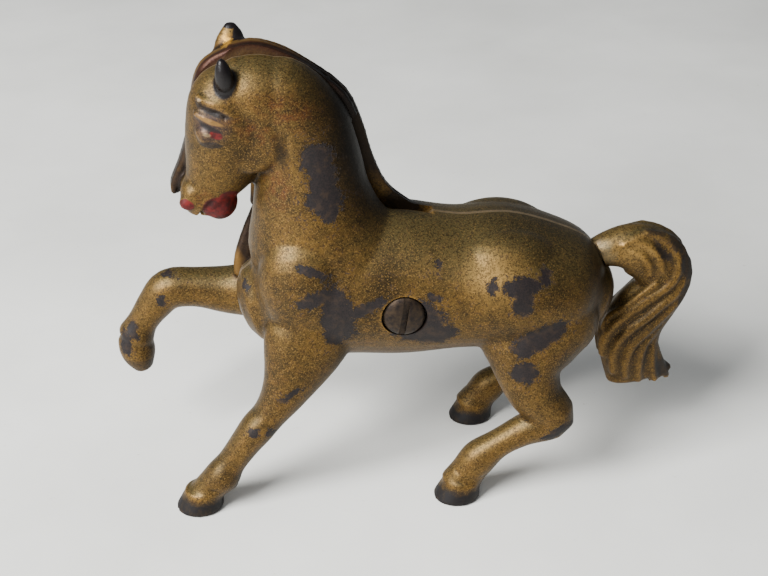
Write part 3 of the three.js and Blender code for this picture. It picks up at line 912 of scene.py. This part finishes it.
def gold_paint(name, chips):
    """Worn bronze paint over dark iron, with reds, blacks and bare rims of one casting."""
    g = Graph(name)
    x, y, z = g.axes(g.place)
    depth = g.attribute("cavity")
    hair_here = g.attribute("hair")
    broad = g.noise(0.09, 4)
    middle = g.noise(0.55, 5, 0.6)
    fine = g.noise(2.2, 3, 0.75)
    grain = g.noise(3.6, 2, 0.6)
    streak = g.noise(0.7, 4, 0.6, stretch=(0.5, 1, 1.4))
    facing = g.node("ShaderNodeCombineXYZ", inputs={0: x, 1: y.size(), 2: z}).value()
    wobble = g.vector("SCALE", g.vector("SUBTRACT", g.noise(0.75, 4, 0.6, colour=True),
                                        (0.5, 0.5, 0.5)), scale=3.4)
    torn = g.vector("ADD", g.place, wobble)

    normal_x, _, up = g.axes(g.node("ShaderNodeNewGeometry").value("Normal"))
    base = g.mix(broad.ramp(0.38, 0.62), srgb(58, 44, 19), srgb(86, 65, 27))
    base = g.mix(middle.ramp(0.45, 0.7) * 0.6, base, srgb(110, 79, 31))
    base = g.mix(streak.ramp(0.52, 0.7) * 0.4, base, srgb(52, 32, 15))
    # Painted reflection: surfaces facing up turn olive, as if the top of the body reflected the room.
    base = g.mix(up.ramp(0.3, 0.95) * 0.7, base, srgb(84, 77, 48))
    base = g.mix((-1 * depth).ramp(0.02, 0.2) * 0.45, base, srgb(150, 112, 50))
    base = g.mix(depth.ramp(0.02, 0.18) * 0.8, base, srgb(16, 11, 6))
    rust = g.spots(RUST, torn).ramp(1.2, 0.5) * middle.ramp(0.4, 0.6)
    base = g.mix(rust * 0.5, base, srgb(74, 28, 15))
    base = g.mix(g.spots(SHADES, torn).ramp(1.2, 0.3) * 0.5, base, srgb(26, 19, 9))
    # Painted highlight: lighter gold on the hip and at the root of the tail.
    base = g.mix(g.spots(PAINTED_HIGHLIGHTS, torn).ramp(1.2, 0.2) * 0.5, base, srgb(158, 124, 66))
    base = g.mix(fine.ramp(0.5, 0.56) * 0.65, base, srgb(22, 15, 7))
    base = g.mix(grain.ramp(0.56, 0.64) * 0.35, base, srgb(160, 124, 66))
    base = g.mix(g.spots(DUST, torn).ramp(1.2, 0.5) * 0.3, base, srgb(124, 116, 92))

    hair_colour = g.mix(y.ramp(1.8, 1.2), srgb(104, 76, 36), srgb(44, 18, 14))
    hair_colour = g.mix(g.spots(DARK_HAIR, g.place).ramp(1.1, 0.8), hair_colour, srgb(26, 16, 14))
    hair_colour = g.mix(depth.ramp(-0.04, 0.06) * 0.9, hair_colour, srgb(18, 10, 8))
    crest = z.ramp(38, 46) * (1 - x.ramp(20, 30)) * hair_here
    base = g.mix(crest * 0.9, base, hair_colour)

    # Painted shade: near black over the nape and along the crest, where the neck faces away from the
    # light.
    nape_shade = g.spots(NAPE_SHADE, torn).ramp(1.15, 0.45)
    base = g.mix(nape_shade * 0.93, base, srgb(9, 6, 4))
    # Painted shadow: a dark line behind the raised edge of the jaw.
    base = g.mix(g.spots(JOWL_SHADOW, facing).ramp(1.3, 0.3) * 0.8, base, srgb(12, 8, 5))
    # Painted shade: surfaces facing the back (+x), away from the light, turn near black.
    base = g.mix(normal_x.ramp(0.25, 0.9) * 0.7, base, srgb(14, 10, 5))
    base = g.mix(g.spots(EYE_TINT, facing).ramp(1.1, 0.4) * 0.6, base, srgb(52, 42, 50))

    chip = g.spots(chips, torn)
    edge = chip + (fine - 0.5) * 1.2 + (middle - 0.5) * 1.1
    bare = edge.ramp(1.04, 0.92)
    specks = (middle.ramp(0.58, 0.64) * fine.ramp(0.5, 0.56)).most(grain.ramp(0.68, 0.74) * 0.7)
    bare = bare.most(specks * chip.ramp(2.8, 1.2).most(0.3))
    iron = g.mix(grain.ramp(0.35, 0.65), srgb(12, 9, 10), srgb(30, 22, 21))
    iron = g.mix(middle.ramp(0.5, 0.64) * 0.6, iron, srgb(46, 34, 24))
    colour = g.mix(bare, base, iron)

    nearly = g.vector("ADD", facing, g.vector("SCALE", wobble, scale=0.12))
    red = g.spots(REDS, nearly).ramp(1.08, 0.96)
    colour = g.mix(red, colour, g.mix(middle.ramp(0.4, 0.6), srgb(88, 14, 12), srgb(46, 8, 8)))

    raised_toe = g.spots(RAISED_TOE, g.place).ramp(1.1, 0.9) * 0.6
    hoofs = (z + (middle - 0.5) * 4).ramp(4.4, 2.6).most(raised_toe)
    ears = g.spots(EARS, g.place).ramp(1.1, 0.95)
    eye_lines = g.spots(EYE_LINES, facing).ramp(1.15, 0.8) * 0.85
    tail_dark = g.spots(TAIL_DARK, torn).ramp(1.25, 0.75) * 0.85
    black = ears.most(eye_lines).most(hoofs * (0.7 + middle * 0.6)).most(tail_dark).ramp(0, 1)
    colour = g.mix(black, colour, srgb(13, 9, 10))
    inside = g.spots(EAR_INSIDE, torn).ramp(1.1, 0.7)
    colour = g.mix(inside, colour, srgb(150, 112, 42))
    colour = g.mix(g.spots(LIDS, facing).ramp(1.1, 0.7) * 0.7, colour, srgb(136, 102, 54))
    # Painted highlights: small glints on the eye and on the brow's knob.
    colour = g.mix(g.spots(EYE_LIGHT, facing).ramp(1.1, 0.7) * 0.45, colour, srgb(150, 128, 96))

    rim = y.size().ramp(0.6, 0.3) * (1 - hair_here) * (1 - nape_shade)
    rim = rim * middle.ramp(0.25, 0.45) * x.ramp(43.5, 42.5)
    colour = g.mix(rim * 0.55, colour, srgb(142, 124, 98))

    dull = bare.most(black).most(red)
    height = fine * 0.35 + grain * 0.25 + middle * 0.6
    normal = g.bump(bare * -1.0, 0.00006, 0.8, g.bump(height, 0.00012, 0.6))
    return g.finish(
        Base_Color=colour,
        Metallic=(1 - dull) * 0.7,
        Specular_IOR_Level=0.22,
        Coat_Weight=(1 - dull) * 0.1,
        Coat_Roughness=0.45,
        Roughness=0.36 + fine * 0.16 + broad * 0.1 + dull * 0.1 - ears * (1 - inside) * 0.24,
        Normal=normal,
    )


def dark_steel():
    g = Graph("screw_steel")
    patch = g.noise(0.9, 4, 0.6)
    fine = g.noise(4.5, 3, 0.6)
    colour = g.mix(patch.ramp(0.35, 0.65), srgb(26, 20, 18), srgb(54, 42, 30))
    colour = g.mix(g.attribute("cavity").ramp(0.02, 0.15) * 0.8, colour, srgb(14, 11, 10))
    return g.finish(
        Base_Color=colour, Metallic=0.75, Roughness=0.34 + patch * 0.25,
        Normal=g.bump(fine, 0.00008, 0.4),
    )


def counter():
    """A pale counter top with faint grey clouds and a few fine marks."""
    g = Graph("counter_top")
    clouds = g.noise(0.012, 4, 0.55)
    marks = g.noise(0.35, 4, 0.7)
    colour = g.mix(clouds.ramp(0.35, 0.65), srgb(224, 224, 218), srgb(240, 240, 234))
    colour = g.mix(marks.ramp(0.66, 0.76) * 0.35, colour, srgb(150, 132, 112))
    return g.finish(Base_Color=colour, Roughness=0.55)


# ---------------------------------------------------------------- settings

class HORSEBANK_PG_casting(bpy.types.PropertyGroup):
    """How both castings are made."""

    wall: bpy.props.FloatProperty(
        name="Wall", description="Thickness of the castings", default=0.003, unit="LENGTH")
    seam: bpy.props.FloatProperty(
        name="Seam", description="Gap between the two halves", default=0.0002, unit="LENGTH")
    voxel: bpy.props.FloatProperty(
        name="Voxel", description="Grid size used to melt the parts together", default=0.00042,
        unit="LENGTH")
    softening: bpy.props.IntProperty(
        name="Softening", description="Rounds of smoothing over the joins", default=4)
    slot_width: bpy.props.FloatProperty(
        name="Slot width", description="Width of the coin slot", default=0.0033, unit="LENGTH")
    slot_length: bpy.props.FloatProperty(
        name="Slot length", description="Length of the coin slot", default=0.027, unit="LENGTH")


class HORSEBANK_PG_screw(bpy.types.PropertyGroup):
    """The screw that holds the halves together."""

    head: bpy.props.FloatProperty(
        name="Head", description="Diameter of the head", default=0.0087, unit="LENGTH")
    major: bpy.props.FloatProperty(
        name="Thread", description="Outside diameter of the thread", default=0.0047, unit="LENGTH")
    pitch: bpy.props.FloatProperty(
        name="Pitch", description="Travel of one turn", default=0.0010583, precision=6, unit="LENGTH")


class HORSEBANK_PG_stage(bpy.types.PropertyGroup):
    """Camera and light."""

    lens: bpy.props.FloatProperty(
        name="Lens", description="Focal length in millimetres", default=64.9)
    distance: bpy.props.FloatProperty(
        name="Distance", description="From the camera to the point it looks at", default=0.3,
        unit="LENGTH")


# ---------------------------------------------------------------- operators

class HORSEBANK_OT_left(bpy.types.Operator):
    """Build the left casting, with its two standing legs and the screw's recess"""

    bl_idname = "horsebank.left_casting"
    bl_label = "Left Casting"

    def execute(self, context):
        settings = context.scene.horse_casting
        parts = core(-1) + face(-1)
        parts += [loft(LEFT_FORELEG, cap=(0.6, 0.2)), loft(LEFT_HIND_LEG, cap=(0.6, 0.2))]
        parts += hoof(-45.6, -15) + hoof(11.4, -15.2)
        obj = fuse(parts, settings.voxel, settings.softening, grooves(-1))
        cut_at_floor(parted(obj, settings, -1))
        finish_casting(obj, settings, -1)
        cavity(obj, 12)
        store(obj, "hair", np.zeros(len(obj.data.vertices)))
        shaded(obj)
        placed(obj, "left_casting", "left_casting", "left_half",
               gold_paint("worn_gold_left", LEFT_CHIPS))
        return {"FINISHED"}


class HORSEBANK_OT_right(bpy.types.Operator):
    """Build the right casting, with its raised foreleg, hind leg, mane, forelock and tail"""

    bl_idname = "horsebank.right_casting"
    bl_label = "Right Casting"

    def execute(self, context):
        settings = context.scene.horse_casting
        locks = []
        for route in LOCKS:
            last = len(route) - 1
            for shift, width in ((-1.6, 1.3), (0, 1.5), (1.6, 1.3)):
                locks.append((width, [(x + shift * (0.3 if i == last else 1), y, z)
                                      for i, (x, y, z) in enumerate(route)]))
        crest = crest_routes(CREST_STRANDS)
        fringe = [(0.85, [(x + dx, y + dy, z + dz) for x, y, z, *_ in FORELOCK])
                  for dx, dy, dz in ((-0.4, -1.4, 0.3), (-0.6, 0.3, 0.4), (-0.3, 1.8, 0.1))]
        parts = core(1) + face(1)
        parts += [loft(RAISED_FORELEG), loft(RAISED_HOOF, cap=(0.5, 0.6)),
                  loft(RIGHT_HIND_LEG, cap=(0.6, 0.2)), loft(MANE_ROLL, sides=16),
                  loft(FORELOCK, sides=16)]
        parts += [strand(route, width) for width, route in locks + crest + fringe]
        parts += hoof(18.1, 15)
        obj = fuse(parts, settings.voxel, settings.softening, grooves(1) + crest_routes(CREST_GROOVES))
        cut_at_floor(parted(obj, settings, 1))
        boolean(obj, tail(settings), "UNION")
        finish_casting(obj, settings, 1)
        cavity(obj, 12)
        hair(obj, [route for _, route in locks + crest + fringe + tail_routes()], 2.2)
        shaded(obj)
        placed(obj, "right_casting", "right_casting", "right_half",
               gold_paint("worn_gold_right", RIGHT_CHIPS))
        return {"FINISHED"}


class HORSEBANK_OT_screw(bpy.types.Operator):
    """Build the slotted screw with its thread"""

    bl_idname = "horsebank.screw"
    bl_label = "Screw"

    def execute(self, context):
        settings = context.scene.horse_screw
        head, major, pitch = settings.head / MM, settings.major / MM, settings.pitch / MM
        dome_reach, dome_rise, thread_depth = head / 2 + 0.35, 1.75, 0.55
        notch, notch_lean = (1.3, 2.2, head * 2), math.radians(8)
        x, z = SCREW_AT
        dome = ball((x, SEAT_Y - 0.6, z), (dome_reach, dome_rise, dome_reach), segments=48)
        obj = boolean(bar(head, SEAT_Y - 3, SEAT_Y), dome, "INTERSECT")
        boolean(obj, bar(major - 2 * thread_depth, SEAT_Y - 0.2, TIP_Y), "UNION")
        bpy.ops.mesh.primitive_cube_add(
            size=MM, location=Vector((x, SEAT_Y - 2.3, z)) * MM, rotation=(0, notch_lean, 0))
        boolean(obj, applied(bpy.context.object, notch), "DIFFERENCE")
        thread = screw_thread(major, thread_depth, pitch, SEAT_Y + 2.5, TIP_Y - 0.6)
        boolean(obj, thread, "UNION")
        cavity(obj, 2)
        shaded(obj, 30)
        placed(obj, "body_screw_look", "screw", "body_screw", dark_steel())
        return {"FINISHED"}


class HORSEBANK_OT_stage(bpy.types.Operator):
    """Build the counter, the lights and the camera"""

    bl_idname = "horsebank.stage"
    bl_label = "Stage"

    def execute(self, context):
        settings = context.scene.horse_stage
        bpy.ops.mesh.primitive_plane_add(size=6, location=(0, 0, 0))
        floor = bpy.context.object
        floor.name = "counter"
        floor.data.materials.append(counter())

        world = bpy.data.worlds.new("room")
        world.use_nodes = True
        world.node_tree.nodes["Background"].inputs["Color"].default_value = (0.55, 0.57, 0.6, 1)
        world.node_tree.nodes["Background"].inputs["Strength"].default_value = 0.5
        context.scene.world = world
        for name, place, size, power in LIGHTS:
            bpy.ops.object.light_add(type="AREA", location=place)
            light = bpy.context.object
            light.name = name
            light.data.size, light.data.energy = size, power
            aim = Vector(LIT_PLACE) - Vector(place)
            light.rotation_euler = aim.to_track_quat("-Z", "Y").to_euler()

        target = Vector(VIEWED_PLACE)
        azimuth, elevation = math.radians(VIEW_AZIMUTH), math.radians(VIEW_ELEVATION)
        back = Vector((math.sin(azimuth) * math.cos(elevation),
                       -math.cos(azimuth) * math.cos(elevation), math.sin(elevation)))
        bpy.ops.object.camera_add(location=target + back * settings.distance)
        camera = bpy.context.object
        camera.rotation_euler = (-back).to_track_quat("-Z", "Y").to_euler()
        camera.data.lens = settings.lens
        camera.data.sensor_width = 36
        camera.data.clip_start, camera.data.clip_end = 0.01, 20
        camera.data.dof.use_dof = False
        context.scene.camera = camera
        return {"FINISHED"}


class HORSEBANK_PT_panel(bpy.types.Panel):
    """Settings and buttons of the horse bank"""

    bl_idname = "HORSEBANK_PT_panel"
    bl_label = "Horse Bank"
    bl_space_type = "VIEW_3D"
    bl_region_type = "UI"
    bl_category = "Horse Bank"

    def draw(self, context):
        layout = self.layout
        for group in ("horse_casting", "horse_screw", "horse_stage"):
            column = layout.column(align=True)
            settings = getattr(context.scene, group)
            for name in settings.__annotations__:
                column.prop(settings, name)
        for operator in OPERATORS:
            layout.operator(operator.bl_idname)


GROUPS = {
    "horse_casting": HORSEBANK_PG_casting,
    "horse_screw": HORSEBANK_PG_screw,
    "horse_stage": HORSEBANK_PG_stage,
}
OPERATORS = (HORSEBANK_OT_left, HORSEBANK_OT_right, HORSEBANK_OT_screw, HORSEBANK_OT_stage)


def register():
    for cls in (*GROUPS.values(), *OPERATORS, HORSEBANK_PT_panel):
        bpy.utils.register_class(cls)
    for name, group in GROUPS.items():
        setattr(bpy.types.Scene, name, bpy.props.PointerProperty(type=group))


def unregister():
    for name in GROUPS:
        delattr(bpy.types.Scene, name)
    for cls in reversed((*GROUPS.values(), *OPERATORS, HORSEBANK_PT_panel)):
        bpy.utils.unregister_class(cls)


def main():
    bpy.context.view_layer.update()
    register()
    bpy.ops.horsebank.left_casting()
    bpy.ops.horsebank.right_casting()
    bpy.ops.horsebank.screw()
    bpy.ops.horsebank.stage()


if __name__ == "__main__":
    main()
